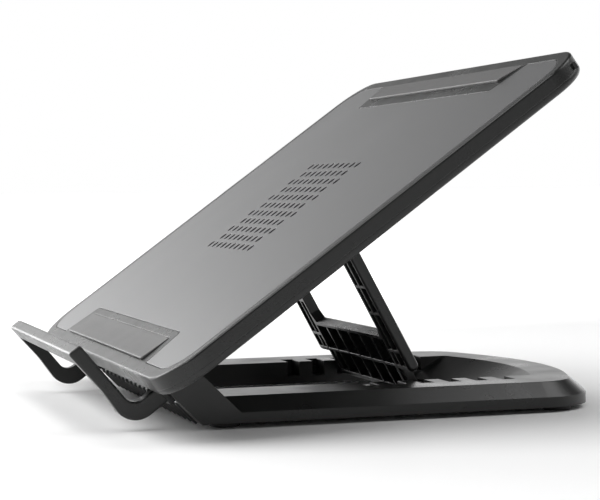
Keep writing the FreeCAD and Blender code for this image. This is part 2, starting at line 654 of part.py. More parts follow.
def prop_frame():
    """H-frame drawn hanging straight down from its hinge at the origin, open side to the front."""
    half = PROP_T / 2
    wide, tall = GUSSET
    corners = [V(-LEG_IN, -half, -WEB_START), V(-LEG_IN, -half, tall - WEB_START),
               V(wide - LEG_IN, -half, -WEB_START)]
    gusset = Part.Face(Part.makePolygon(corners + corners[:1])).extrude(V(0, PROP_T, 0))
    leg = prop_leg()
    body = fuse([prop_web(), leg, mirrored(leg), gusset, mirrored(gusset)])
    return body.cut(both(rod_x(LEG_IN - 1, PROP_OUT + 1, 0, 0, PIN_R + RUN_CLEAR)))


parts["prop_frame"] = placed(prop_frame(), PROP_HINGE, FreeCAD.Rotation(V(1, 0, 0), 90 - PROP_LEAN))

# ---------------------------------------------------------------- base
REAR_TURN = math.radians(20.0)   # slope of the rear outline beside its corners
REAR_R = 168.0
CORNER_Y = 90.0                  # where the top outline's side would meet its rear slope
CORNER_TOP_R = 24.0
OPEN_FRONT = -88.0
OPEN_REAR = 99.8                 # where both straight ends of the arched rear wall would meet, at its top
OPEN_TURN = math.radians(17.0)
OPEN_ARC_R = 150.0
OPEN_SLOPE = 1.9                 # how far the rear wall comes forward for each mm down
OPEN_R = 3.0
SHELL = 2.4
FEET = [(x, y) for x in (-84.0, 84.0) for y in (-84.0, 84.0)]
FOOT_R = 7.0
FOOT_SINK = 1.0
BUSH_R = 3.1
KNUCKLE_R = 4.5
ARM_STEP = 15.5                  # rise and forward lean of the arm's straight front edge
ARM_FOOT = 16.6 * math.sqrt(2)   # length of the arm along the floor
LEAN_TOP = 11.5                  # height at which the leaning front turns up
LIP_FRONT = BASE_FRONT - LEAN_TOP + FOOT_H
RIB_COUNT = 18
RIB_PITCH = 10.0
RIB_R = 1.5
RIB_LEN = 13.2
NOTCH_OUT = 71.5                 # half width over a pair of notches
NOTCH_LAST = NOTCH_FIRST + NOTCH_PITCH * (NOTCH_COUNT - 1)


def base_outline(grow, z, front):
    """Plan outline of the base: straight sides and a broad rear arc."""
    half = RAIL_OUT + grow
    apex = CORNER_Y + RAIL_OUT * math.tan(REAR_TURN) + grow / math.cos(REAR_TURN)
    side = apex - half * math.tan(REAR_TURN)
    radius = CORNER_TOP_R + grow
    corners = [(-half, front, 0), (half, front, 0), (half, side, radius), (0, apex, REAR_R + grow),
               (-half, side, radius)]
    return rounded_wire(corners, z)


def opening(z0, z1, grow=0.0):
    """Space between the rails; its arched rear wall slopes back as it rises."""
    wires = []
    half = RAIL_IN + grow
    front = OPEN_FRONT - grow
    for z in (z0, z1):
        apex = OPEN_REAR - (BASE_TOP - z) * OPEN_SLOPE + grow / math.cos(OPEN_TURN)
        side = apex - half * math.tan(OPEN_TURN)
        corners = [(-half, front, OPEN_R), (half, front, OPEN_R), (half, side, OPEN_R),
                   (0, apex, OPEN_ARC_R + grow), (-half, side, OPEN_R)]
        wires.append(rounded_wire(corners, z))
    return Part.makeLoft(wires, True, True)


def base_arm():
    """Forward-leaning arm that carries the plate hinge."""
    x0, x1 = ARM_X
    heel = BASE_FRONT + ARM_FOOT
    outline = [(BASE_FRONT, FOOT_H, 1.0), (BASE_FRONT - ARM_STEP, FOOT_H + ARM_STEP, 3.0),
               (HINGE_Y - 3.2, HINGE_Z - 3.2, 2.0), (HINGE_Y + 3.0, HINGE_Z + 3.0, 2.0),
               (heel - 22.5, FOOT_H + 22.0, 3.0), (heel - 4.8, FLANGE_TOP - 0.4, 0), (heel + 1, FOOT_H, 0)]
    arm = fuse([profile_x(outline, x0, x1), rod_x(x0, x1, HINGE_Y, HINGE_Z, KNUCKLE_R)])
    return arm.cut(rod_x(x0 - 1, x1 + 1, HINGE_Y, HINGE_Z, BUSH_R))


def base_shell():
    """Outer skin of the base: flanged sides and rear, and a front that leans forward."""
    grow = FLANGE_OUT - RAIL_OUT
    flange = Part.Face(base_outline(grow, FOOT_H, BASE_FRONT)).extrude(V(0, 0, FLANGE_TOP - FOOT_H))
    slopes = Part.makeLoft([base_outline(grow, FLANGE_TOP, BASE_FRONT),
                            base_outline(0, BASE_TOP, BASE_FRONT)], True, True)
    lip = profile_x([(BASE_FRONT + 4, FOOT_H, 0), (BASE_FRONT, FOOT_H, 0), (LIP_FRONT, LEAN_TOP, 1.0),
                     (LIP_FRONT + 2.8, BASE_TOP, 1.0), (BASE_FRONT + 4, BASE_TOP, 0)], -ARM_X[0], ARM_X[0])
    return fuse([flange, slopes, lip])


def base_core():
    """Hollow under the base, leaving its walls, the notched blocks and the foot bosses."""
    inset = FLANGE_OUT - RAIL_OUT - SHELL
    front = BASE_FRONT + SHELL
    roof = BASE_TOP - SHELL
    low = Part.Face(base_outline(inset, FOOT_H, front)).extrude(V(0, 0, FLANGE_TOP - FOOT_H - 1.0))
    high = Part.makeLoft([base_outline(inset, FLANGE_TOP - 1.0, front), base_outline(-SHELL, roof, front)],
                         True, True)
    notch_block = box(RAIL_IN, NOTCH_OUT + 3, NOTCH_FIRST - 8, NOTCH_LAST + 8, 0, BASE_TOP)
    bosses = [rod_z(x, y, FOOT_H, roof + 0.5, FOOT_R + 1.6) for x, y in FEET]
    kept = [opening(-1, BASE_TOP + 1, SHELL), notch_block, mirrored(notch_block)] + bosses
    return cut(fuse([low, high]), kept)


def base_frame():
    """One moulding: notched rails, arched rear member, leaning ribbed front and two arms."""
    body = cut(base_shell(), [base_core(), opening(-1, BASE_TOP + 1)])
    ribs = []
    for i in range(RIB_COUNT):
        start = V((i - (RIB_COUNT - 1) / 2) * RIB_PITCH, BASE_FRONT + 0.6, FOOT_H + 0.2)
        ribs.append(Part.makeCylinder(RIB_R, RIB_LEN, start, V(0, -1, 1)))
    arm = base_arm()
    body = fuse([body, arm, mirrored(arm)] + ribs)
    tools = [rod_z(x, y, FOOT_H - 1, FOOT_H + FOOT_SINK, FOOT_R + 0.2) for x, y in FEET]
    for i in range(NOTCH_COUNT):
        y = NOTCH_FIRST + NOTCH_PITCH * i
        notch = box(RAIL_IN - 1, NOTCH_OUT, y - NOTCH_LEN / 2, y + NOTCH_LEN / 2, NOTCH_FLOOR, BASE_TOP + 1)
        tools += [notch, mirrored(notch)]
    return cut(body, tools)


def rubber_foot(x, y):
    """Round foot with a softened lower edge."""
    foot = rod_z(x, y, 0, FOOT_H + FOOT_SINK, FOOT_R)
    return foot.makeFillet(0.7, edges_where(foot, lambda p: abs(p.z) < 1e-6))


parts["base_frame"] = base_frame()
parts["base_feet"] = Part.makeCompound([rubber_foot(x, y) for x, y in FEET])
bush = rod_x(*ARM_X, HINGE_Y, HINGE_Z, BUSH_R)
bush = bush.cut(rod_x(ARM_X[0] - 1, ARM_X[1] + 1, HINGE_Y, HINGE_Z, PIN_R + RUN_CLEAR))
parts["hinge_bushes"] = both(bush)

# ---------------------------------------------------------------- origin at the box's bottom centre
everything = Part.makeCompound(list(parts.values())).BoundBox
SHIFT_Y = -(everything.YMin + everything.YMax) / 2

os.makedirs("parts", exist_ok=True)
for name, shape in parts.items():
    moved = shape.translated(V(0, SHIFT_Y, 0))
    parts[name] = moved
    moved.exportStep(os.path.join("parts", name + ".step"))
    print(name, len(moved.Solids), round(moved.Volume), moved.isValid())
print("prop length", round(PROP_LEN, 2), "lean", round(PROP_LEAN, 2), "shift", round(SHIFT_Y, 3))
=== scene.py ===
"""Looks of the laptop cooling pad: materials, rubber pads, screw heads, fan rotor and the prop's ribbing."""
import json
import math

import bmesh
import bpy
from mathutils import Matrix, Vector


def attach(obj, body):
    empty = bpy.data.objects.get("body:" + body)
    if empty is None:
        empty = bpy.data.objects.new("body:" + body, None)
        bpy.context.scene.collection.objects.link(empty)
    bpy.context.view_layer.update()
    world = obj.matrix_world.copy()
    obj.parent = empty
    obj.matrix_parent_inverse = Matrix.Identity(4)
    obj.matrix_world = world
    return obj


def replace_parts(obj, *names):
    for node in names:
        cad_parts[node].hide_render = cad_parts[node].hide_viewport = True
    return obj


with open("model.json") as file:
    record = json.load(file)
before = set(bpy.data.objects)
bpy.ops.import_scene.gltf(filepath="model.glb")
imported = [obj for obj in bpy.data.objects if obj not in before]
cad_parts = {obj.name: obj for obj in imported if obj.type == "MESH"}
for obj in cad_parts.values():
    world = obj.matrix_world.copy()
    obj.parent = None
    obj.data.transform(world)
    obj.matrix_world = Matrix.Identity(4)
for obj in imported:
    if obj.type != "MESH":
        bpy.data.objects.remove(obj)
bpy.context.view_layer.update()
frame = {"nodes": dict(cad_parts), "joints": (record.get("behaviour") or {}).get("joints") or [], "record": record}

MM = 0.001
JOINTS = {joint["name"]: joint for joint in frame["joints"]}
NODES = frame["nodes"]

# ---------------------------------------------------------------- the plate's own frame
# x to the user's right, s up the slope from the plate's front edge, n out of its top surface
TILT = math.radians(-JOINTS["plate_tilt"]["range_deg"][0])      # its lower limit is the plate lying flat
HINGE_S, HINGE_N = 14.2 * MM, -7.5 * MM
PLATE = (Matrix.Translation(JOINTS["plate_tilt"]["pos_m"]) @ Matrix.Rotation(TILT, 4, "X")
         @ Matrix.Translation((0, -HINGE_S, -HINGE_N)))
PLATE_D = 244 * MM
FAN_S = 123.6 * MM


# ---------------------------------------------------------------- node material helpers
BEVEL_SAMPLES = 6
FLAT_DOT, EDGE_DOT = 0.99, 0.85      # how nearly a rounded normal points the way its face does
MIDDLE = (0.3, 0.7)                  # most of a noise's values lie between these


class Shader:
    """A Principled material with a short way to add and link nodes."""

    def __init__(self, name, color, roughness, metallic=0.0, specular=0.5):
        self.material = bpy.data.materials.new(name)
        self.material.use_nodes = True
        self.tree = self.material.node_tree
        self.surface = self.tree.nodes["Principled BSDF"]
        self.set("Base Color", (*color, 1.0))
        self.set("Roughness", roughness)
        self.set("Metallic", metallic)
        self.set("Specular IOR Level", specular)
        self.place = self.add("ShaderNodeTexCoord").outputs["Object"]

    def set(self, socket, value):
        self.surface.inputs[socket].default_value = value

    def add(self, kind, **inputs):
        """A node with some of its inputs set or, when given a socket, linked."""
        node = self.tree.nodes.new(kind)
        for key, value in inputs.items():
            self.feed(node.inputs[key.replace("_", " ")], value)
        return node

    def feed(self, socket, value):
        if isinstance(value, bpy.types.NodeSocket):
            self.tree.links.new(value, socket)
        else:
            socket.default_value = value

    def link(self, output, socket):
        self.tree.links.new(output, self.surface.inputs[socket])

    def noise(self, scale, detail=3.0, stretch=None):
        """Noise whose features are about one over scale metres wide."""
        place = self.place
        if stretch:
            place = self.add("ShaderNodeMapping", Vector=place, Scale=stretch).outputs["Vector"]
        return self.add("ShaderNodeTexNoise", Vector=place, Scale=scale, Detail=detail).outputs["Fac"]

    def ranged(self, value, low, high, to_low, to_high):
        """Value mapped from one range to another."""
        node = self.add("ShaderNodeMapRange", Value=value)
        for key, number in (("From Min", low), ("From Max", high), ("To Min", to_low), ("To Max", to_high)):
            node.inputs[key].default_value = number
        return node.outputs["Result"]

    def mixed(self, share, first, second):
        """Colour between two colours or sockets."""
        node = self.add("ShaderNodeMix")
        node.data_type = "RGBA"
        sockets = [s for s in node.inputs if s.type == "RGBA"]
        self.feed(node.inputs["Factor"], share)
        self.feed(sockets[0], (*first, 1.0) if isinstance(first, tuple) else first)
        self.feed(sockets[1], (*second, 1.0) if isinstance(second, tuple) else second)
        return next(s for s in node.outputs if s.type == "RGBA")

    def rounded(self, radius):
        """Normal that runs round edges as if they had that radius."""
        node = self.add("ShaderNodeBevel", Radius=radius)
        node.samples = BEVEL_SAMPLES
        return node.outputs["Normal"]

    def edges(self, normal):
        """1 on a rounded edge and 0 on a flat face."""
        true_normal = self.add("ShaderNodeNewGeometry").outputs["True Normal"]
        node = self.add("ShaderNodeVectorMath")
        node.operation = "DOT_PRODUCT"
        self.feed(node.inputs[0], normal)
        self.feed(node.inputs[1], true_normal)
        return self.ranged(node.outputs["Value"], FLAT_DOT, EDGE_DOT, 0.0, 1.0)

    def bump(self, height, distance, strength, normal):
        """Normal with a fine relief added to it."""
        node = self.add("ShaderNodeBump", Height=height, Distance=distance, Strength=strength, Normal=normal)
        return node.outputs["Normal"]


def toned(color, share):
    """Colour times a share, no brighter than white."""
    return tuple(min(1.0, c * share) for c in color)


# noise scales are features per metre, reliefs and edge radii are metres, tones are shares of the colour
FINE_RELIEF = 0.00002
SPARK_RELIEF = 0.00006
SPARK_SCALE = 2600.0
MOULDED_EDGE = 0.0006
SHARP_EDGE = 0.0003
PATCH_SCALE = 35.0
RUB_SCALE = 420.0
COARSE_GRAIN = 0.35          # its scale, over the fine grain's
PATCH_DARK, PATCH_LIGHT, SPECKLE_LIGHT = 0.86, 1.14, 1.9
GRAIN_STRENGTH, COARSE_STRENGTH = 0.35, 0.15


def moulded(name, color, roughness, grain=SPARK_SCALE, depth=SPARK_RELIEF, edge=MOULDED_EDGE, worn=1.7,
            specular=0.5):
    """Textured plastic: fine spark grain, slow unevenness, lighter rubbed edges."""
    m = Shader(name, color, roughness, specular=specular)
    corner = m.rounded(edge)
    mask = m.edges(corner)
    patches = m.noise(PATCH_SCALE, 4.0)
    fine = m.noise(grain, 2.0)
    uneven = m.mixed(m.ranged(patches, 0.35, 0.65, 0.0, 1.0), toned(color, PATCH_DARK),
                     toned(color, PATCH_LIGHT))
    speckle = m.mixed(m.ranged(fine, 0.3, 0.75, 0.0, 0.45), uneven, toned(color, SPECKLE_LIGHT))
    broken = m.add("ShaderNodeMath")
    broken.operation = "MULTIPLY"
    m.feed(broken.inputs[0], mask)
    m.feed(broken.inputs[1], m.ranged(m.noise(RUB_SCALE, 4.0), 0.35, 0.7, 0.1, 0.5))
    rubbed = m.mixed(broken.outputs[0], speckle, toned(color, worn))
    m.link(rubbed, "Base Color")
    m.link(m.ranged(patches, *MIDDLE, roughness - 0.05, roughness + 0.06), "Roughness")
    coarse = m.noise(grain * COARSE_GRAIN, 2.0)
    grained = m.bump(fine, depth, GRAIN_STRENGTH, corner)
    m.link(m.bump(coarse, depth * 2, COARSE_STRENGTH, grained), "Normal")
    return m.material


SHEET_BASE = (0.2, 0.2, 0.203)
SHEET_DARK = (0.185, 0.185, 0.188)
SHEET_LIGHT = (0.205, 0.205, 0.208)
SHEET_SPARK = (0.25, 0.25, 0.255)
SHEET_LINES = (0.03, 1.0, 1.0)       # stretches the noise into lines along x
CLOUD_SCALE = 14.0
ROLLING_SCALE = 900.0
SHEET_GRAIN_SCALE = 5200.0
SHEET_GRAIN_RELIEF = 0.00003
SHEET_GLOSS = (0.28, 0.32)           # lowest and highest roughness


def satin_sheet():
    """Grey anodised sheet: faint rolling lines, fine sparkling grain and slow cloudiness."""
    m = Shader("satin_sheet", SHEET_BASE, 0.3, metallic=0.75, specular=0.5)
    clouds = m.noise(CLOUD_SCALE, 5.0)
    lines = m.noise(ROLLING_SCALE, 3.0, stretch=SHEET_LINES)
    grain = m.noise(SHEET_GRAIN_SCALE, 2.0)
    tone = m.mixed(m.ranged(clouds, *MIDDLE, 0.0, 1.0), SHEET_DARK, SHEET_LIGHT)
    m.link(m.mixed(m.ranged(grain, 0.25, 0.75, 0.0, 0.35), tone, SHEET_SPARK), "Base Color")
    m.link(m.ranged(clouds, *MIDDLE, *SHEET_GLOSS), "Roughness")
    ruled = m.bump(lines, FINE_RELIEF, 0.12, m.rounded(SHARP_EDGE))
    m.link(m.bump(grain, SHEET_GRAIN_RELIEF, 0.3, ruled), "Normal")
    return m.material


PEBBLE_SCALE = 1900.0
PEBBLE_RELIEF = 0.00005
DUST_SCALE = 60.0
DUST_LIGHT = 1.25


def rubber(name, color, roughness=0.6):
    """Matt rubber with a very fine pebble and a little dust."""
    m = Shader(name, color, roughness, specular=0.4)
    pebble = m.add("ShaderNodeTexVoronoi", Vector=m.place, Scale=PEBBLE_SCALE).outputs["Distance"]
    dust = m.noise(DUST_SCALE, 6.0)
    m.link(m.mixed(m.ranged(dust, 0.45, 0.75, 0.0, 0.4), color, toned(color, DUST_LIGHT)), "Base Color")
    m.link(m.ranged(dust, *MIDDLE, roughness - 0.02, roughness + 0.03), "Roughness")
    m.link(m.bump(pebble, PEBBLE_RELIEF, 0.5, m.rounded(SHARP_EDGE)), "Normal")
    return m.material


TURNED_EDGE = 0.0002
STAIN_SCALE = 220.0
STAIN_DARK = 0.7
TOOL_SCALE = 2400.0
TOOL_LINES = (1.0, 0.1, 1.0)         # stretches the noise into lines along y


def turned_metal(name, color, roughness=0.32):
    """Bright metal with fine tool lines and darker stains."""
    m = Shader(name, color, roughness, metallic=1.0)
    stains = m.noise(STAIN_SCALE, 4.0)
    lines = m.noise(TOOL_SCALE, 2.0, stretch=TOOL_LINES)
    m.link(m.mixed(m.ranged(stains, 0.4, 0.7, 0.0, 0.6), color, toned(color, STAIN_DARK)), "Base Color")
    m.link(m.ranged(lines, *MIDDLE, roughness - 0.08, roughness + 0.1), "Roughness")
    m.link(m.bump(lines, FINE_RELIEF, 0.25, m.rounded(TURNED_EDGE)), "Normal")
    return m.material


DARK = (0.008, 0.0083, 0.008)
MATERIALS = {
    "sheet": satin_sheet(),
    "dark_plastic": moulded("dark_plastic", DARK, 0.29, specular=0.45),
    "pad_rubber": rubber("pad_rubber", (0.085, 0.084, 0.084), 0.4),
    "foot_rubber": rubber("foot_rubber", (0.018, 0.018, 0.018)),
    "steel": turned_metal("steel", (0.56, 0.56, 0.57)),
    "fan_plastic": moulded("fan_plastic", (0.012, 0.012, 0.013), 0.4, grain=4000.0, depth=FINE_RELIEF,
                           edge=SHARP_EDGE),
    "ferrite": moulded("ferrite", (0.04, 0.037, 0.037), 0.7, grain=3000.0),
    "bronze": turned_metal("bronze", (0.5, 0.33, 0.16), 0.4),
    "bush_plastic": moulded("bush_plastic", (0.55, 0.55, 0.52), 0.45, grain=4000.0, depth=FINE_RELIEF,
                            worn=1.1),
    "board": moulded("board", (0.015, 0.09, 0.035), 0.35, grain=1500.0, depth=FINE_RELIEF),
    "lead_jacket": rubber("lead_jacket", (0.012, 0.012, 0.012), 0.45),
}
for part in frame["record"]["subparts"]:
    mesh = NODES[part["node"]].data
    mesh.materials.clear()
    mesh.materials.append(MATERIALS[part["material_slot"]])


# ---------------------------------------------------------------- mesh helpers
def piece(name, mesh, slot_name, body, place=PLATE):
    """New object in place on its body, with the material of its record slot."""
    made = bpy.data.objects.new(name, mesh)
    bpy.context.scene.collection.objects.link(made)
    mesh.transform(place)
    mesh.materials.append(MATERIALS[slot_name])
    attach(made, body)
    return made


def finished(bm, name, smooth=True):
    """Mesh from a bmesh, with outward normals."""
    bmesh.ops.recalc_face_normals(bm, faces=bm.faces)
    for face in bm.faces:
        face.smooth = smooth
    mesh = bpy.data.meshes.new(name)
    bm.to_mesh(mesh)
    bm.free()
    return mesh


def merged(meshes):
    """bmesh of several meshes, which are removed."""
    whole = bmesh.new()
    for mesh in meshes:
        whole.from_mesh(mesh)
        bpy.data.meshes.remove(mesh)
    return whole


def loft(rings, closed_ends=True):
    """bmesh through rings of points that all have the same count."""
    bm = bmesh.new()
    rows = [[bm.verts.new(p) for p in ring] for ring in rings]
    count = len(rows[0])
    for low, high in zip(rows, rows[1:]):
        for i in range(count):
            j = (i + 1) % count
            bm.faces.new((low[i], low[j], high[j], high[i]))
    if closed_ends:
        bm.faces.new(rows[0])
        bm.faces.new(rows[-1])
    return bm


# ---------------------------------------------------------------- rubber pads
PAD_SINK = 1.0 * MM          # underside, below the sheet's face
PAD_PROUD = 1.3 * MM         # front edge, above it
PAD_LOW = 0.25 * MM          # rear edge, above it
PAD_GAP = 0.05 * MM          # round the side
PAD_ROUND = 0.45 * MM        # softened top edge
PAD_EDGE_LOW = -0.5 * MM     # the softened edge starts no lower
PAD_CORNER = 1.2 * MM
PAD_CORNER_MIN = 0.3 * MM
PAD_CROWN = [(1.2, 0.0), (2.6, 0.04), (5.0, 0.1)]       # inset and dip of each ring on top, mm
CORNER_STEPS = 6
EDGE_STEPS = 5
# half width at the front, half width at the rear, s of the front edge, s of the rear edge
FRONT_PAD = (90.3 * MM, 89 * MM, 7.5 * MM, 24 * MM)
REAR_PAD = (91.5 * MM, 95.5 * MM, PLATE_D - 21 * MM, PLATE_D - 7.3 * MM)


def pad_outline(front_half, rear_half, s0, s1, inset):
    """Rounded four-sided outline, moved in by inset."""
    radius = max(PAD_CORNER - inset, PAD_CORNER_MIN)
    corners = [(-front_half + inset, s0 + inset), (front_half - inset, s0 + inset),
               (rear_half - inset, s1 - inset), (-rear_half + inset, s1 - inset)]
    turns = [(1, 1), (-1, 1), (-1, -1), (1, -1)]
    starts = [180, 270, 0, 90]
    points = []
    for (x, s), (dx, ds), start in zip(corners, turns, starts):
        for step in range(CORNER_STEPS + 1):
            angle = math.radians(start + 90 * step / CORNER_STEPS)
            points.append((x + dx * radius + radius * math.cos(angle),
                           s + ds * radius + radius * math.sin(angle)))
    return points


def rubber_pad(name, front_half, rear_half, s0, s1):
    """Soft wedge: high front edge, crowned top that sinks towards the rear, rounded rim."""
    def height(s):
        share = (s - s0) / (s1 - s0)
        return PAD_PROUD + (PAD_LOW - PAD_PROUD) * share

    rings = [[(x, s, -PAD_SINK) for x, s in pad_outline(front_half, rear_half, s0, s1, PAD_GAP)]]
    for step in range(EDGE_STEPS + 1):
        angle = math.radians(90 * step / EDGE_STEPS)
        inset = PAD_GAP + PAD_ROUND * (1 - math.cos(angle))
        drop = PAD_ROUND * (1 - math.sin(angle))
        rings.append([(x, s, max(height(s) - drop, PAD_EDGE_LOW))
                      for x, s in pad_outline(front_half, rear_half, s0, s1, inset)])
    for inset, dip in PAD_CROWN:
        ring = pad_outline(front_half, rear_half, s0, s1, inset * MM)
        rings.append([(x, s, height(s) - dip * MM) for x, s in ring])
    made = piece(name, finished(loft(rings), name), "pad_rubber", "plate")
    return made


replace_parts(rubber_pad("front_pad_rubber", *FRONT_PAD), "front_pad")
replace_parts(rubber_pad("rear_pad_rubber", *REAR_PAD), "rear_pad")

# ---------------------------------------------------------------- screw heads
# x and s of each screw, mm
COVER_SCREWS = [(-128, 22), (128, 22), (-136, 122), (136, 122), (-128, 222), (128, 222)]
GUIDE_SCREWS = [(-76.75, 13.4), (76.75, 13.4)]
# n of the head's lowest point, of its seat and of the tip, mm
COVER_LEVELS = (-9.7, -8.0, -3.4)
GUIDE_LEVELS = (-13.4, -12.0, -10.0)
HEAD_R = 3.0 * MM
GUIDE_HEAD_R = 2.6 * MM
SHANK_R = 1.5 * MM
CROSS_REACH = 1.7 * MM
CROSS_HALF = 0.4 * MM
CROSS_RINGS = [(0.9, 0.55), (0.1, 0.95), (0.0, 1.0)]                # depth in mm, and scale of the cross
DOME_RINGS = [(0.72, 0.04), (0.86, 0.16), (0.95, 0.36), (1.0, 0.62)]    # share of the radius, rise in mm
CIRCLE_STEPS = 32
SMALL_SINE = 1e-3            # keeps the division finite along the cross's arms


def ring_at(x, s, n, r, count=CIRCLE_STEPS):
    """Circle of points round an axis square to the plate."""
    return [(x + r * math.cos(math.tau * i / count), s + r * math.sin(math.tau * i / count), n)
            for i in range(count)]


def cross_ring(x, s, n, scale):
    """As many points as a circle, drawn in to the outline of a cross."""
    points = []
    for i in range(CIRCLE_STEPS):
        angle = math.tau * i / CIRCLE_STEPS
        off = abs((angle + math.pi / 4) % (math.pi / 2) - math.pi / 4)
        reach = min(CROSS_REACH / math.cos(off), CROSS_HALF / max(math.sin(off), SMALL_SINE))
        reach = max(reach, CROSS_HALF * math.sqrt(2)) * scale
        points.append((x + reach * math.cos(angle), s + reach * math.sin(angle), n))
    return points


def screw(x, s, low, high, tip, radius):
    """Domed head with a cross recess, facing down, and its shank."""
    rings = [cross_ring(x, s, low + depth * MM, scale) for depth, scale in CROSS_RINGS]
    rings += [ring_at(x, s, low + rise * MM, radius * share) for share, rise in DOME_RINGS]
    rings += [ring_at(x, s, high, radius), ring_at(x, s, high, SHANK_R), ring_at(x, s, tip, SHANK_R)]
    return loft(rings)


def screw_set(name, spots, levels, radius):
    """All screws of one kind as one piece."""
    low, high, tip = (level * MM for level in levels)
    screws = [finished(screw(x * MM, s * MM, low, high, tip, radius), name + "_part") for x, s in spots]
    return piece(name, finished(merged(screws), name, smooth=False), "steel", "plate")


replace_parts(screw_set("cover_screw_set", COVER_SCREWS, COVER_LEVELS, HEAD_R), "cover_screws")
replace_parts(screw_set("guide_screw_set", GUIDE_SCREWS, GUIDE_LEVELS, GUIDE_HEAD_R), "guide_screws")

# ---------------------------------------------------------------- fan rotor
HUB_R = 12.0 * MM
HUB_TOP, HUB_LOW = -1.7 * MM, -7.2 * MM
HUB_STEPS = 64
# height and radius of the hub's rings, radius in mm: its outside, then its hollow
HUB_OUTSIDE = [(HUB_LOW, 11.0), (HUB_LOW, 11.9), (HUB_LOW + 0.2 * MM, 12.0), (HUB_TOP - 0.9 * MM, 12.0),
               (HUB_TOP - 0.35 * MM, 11.75), (HUB_TOP - 0.08 * MM, 11.2), (HUB_TOP, 10.3),
               (HUB_TOP, 6.4), (HUB_TOP - 0.15 * MM, 6.1), (HUB_TOP - 0.15 * MM, 1.1)]
HUB_INSIDE = [(HUB_TOP - 0.9 * MM, 1.1), (HUB_TOP - 0.9 * MM, 11.0)]
MERGE_WITHIN = 1e-7
BLADE_COUNT = 7
BLADE_STEPS = 8
BLADE_SINK = 0.6 * MM        # of its root, into the hub
BLADE_TIP = 27.2 * MM
BLADE_T = 0.9 * MM
BLADE_HALF = 21              # half its turn about the axis, degrees at the root
BLADE_NARROWER = 3           # and less by this at the tip
BLADE_SWEEP = 16             # degrees that the tip is turned on from the root
BLADE_RISE = 1.9 * MM        # from the middle to the trailing edge, at the root
BLADE_TWIST = 0.25           # share of the rise that the tip loses
BLADE_CAMBER = 0.5 * MM
BLADE_DROP = 0.1 * MM        # of its middle, below the hub's
BLADE_THINNER, BLADE_EDGE = 0.8, 0.25       # thickness lost towards the edges, and the least that is left


def blade_point(share, across, side):
    """Point of a swept, twisted blade: share runs outward, across from the leading to the trailing edge."""
    radius = HUB_R - BLADE_SINK + (BLADE_TIP - HUB_R + BLADE_SINK) * share
    half = math.radians(BLADE_HALF - BLADE_NARROWER * share)
    sweep = math.radians(BLADE_SWEEP) * share * share
    turn = sweep + half * across
    pitch = 1.0 - BLADE_TWIST * share
    camber = BLADE_CAMBER * (1 - across * across)
    thick = BLADE_T / 2 * max(BLADE_EDGE, 1 - across * across * BLADE_THINNER) * side
    middle = (HUB_TOP + HUB_LOW) / 2 - BLADE_DROP
    return Vector((radius * math.cos(turn), radius * math.sin(turn),
                   middle + BLADE_RISE * across * pitch + camber + thick))


def rotor_mesh():
    """Hub cup with a rounded rim and curved blades, about the fan's own axis."""
    rings = [ring_at(0, 0, n, r * MM, HUB_STEPS) for n, r in HUB_OUTSIDE + HUB_INSIDE]
    hub = loft(rings + rings[:1], closed_ends=False)
    bmesh.ops.remove_doubles(hub, verts=hub.verts, dist=MERGE_WITHIN)
    pieces = [finished(hub, "hub_part")]
    shares = [step / BLADE_STEPS for step in range(BLADE_STEPS + 1)]
    across_steps = [share * 2 - 1 for share in shares]
    for i in range(BLADE_COUNT):
        turn = Matrix.Rotation(math.tau * i / BLADE_COUNT, 3, "Z")
        rows = []
        for share in shares:
            upper = [turn @ blade_point(share, across, 1) for across in across_steps]
            lower = [turn @ blade_point(share, across, -1) for across in reversed(across_steps)]
            rows.append(upper + lower)
        pieces.append(finished(loft(rows), "blade_part"))
    return finished(merged(pieces), "rotor_blades")


rotor = piece("rotor_blades", rotor_mesh(), "fan_plastic", "rotor", PLATE @ Matrix.Translation((0, FAN_S, 0)))
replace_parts(rotor, "fan_rotor")

# ---------------------------------------------------------------- fine ribbing on top of the prop's web
PROP_LEAN = math.radians(61.71)
WEB_START = 64.3 * MM
WEB_HALF_X = 50.5 * MM
WEB_T = 5.6 * MM
RIDGE_COUNT = 5
RIDGE_PITCH = WEB_T * 0.17
RIDGE_HALF = 0.32 * MM
RIDGE_RISE = 0.22 * MM
RIDGE_SINK = 0.3 * MM        # of its underside, into the web
RIDGE_STEPS = 8
# place along the ridge from its middle, as a share of half its length, and how full it is there
RIDGE_ENDS = [(-1.0, 0.2), (-0.985, 0.8), (-0.97, 1.0), (0.97, 1.0), (0.985, 0.8), (1.0, 0.2)]
prop_place = (Matrix.Translation(JOINTS["prop_fold"]["pos_m"])
              @ Matrix.Rotation(math.pi / 2 - PROP_LEAN, 4, "X"))


def ridge(y):
    """Low half-round ridge along the web, with tapered ends."""
    turns = [math.pi * i / RIDGE_STEPS for i in range(RIDGE_STEPS + 1)]
    rings = []
    for along, share in RIDGE_ENDS:
        x = along * WEB_HALF_X
        half = RIDGE_HALF * share
        ring = [(x, y + half * math.cos(turn), RIDGE_RISE * math.sin(turn) * share) for turn in turns]
        ring += [(x, y - half, -RIDGE_SINK), (x, y + half, -RIDGE_SINK)]
        rings.append(ring)
    return loft(rings)


rows = [(row - (RIDGE_COUNT - 1) / 2) * RIDGE_PITCH for row in range(RIDGE_COUNT)]
ridges = merged([finished(ridge(y), "ridge_part") for y in rows])
piece("prop_web_ribbing", finished(ridges, "prop_web_ribbing"), "dark_plastic", "prop",
      prop_place @ Matrix.Translation((0, 0, -WEB_START)))

# ---------------------------------------------------------------- stage
FLOOR_HALF = 40.0
FLOOR_COLOR = (0.94, 0.94, 0.94)
WHITE = (1.0, 1.0, 1.0, 1.0)
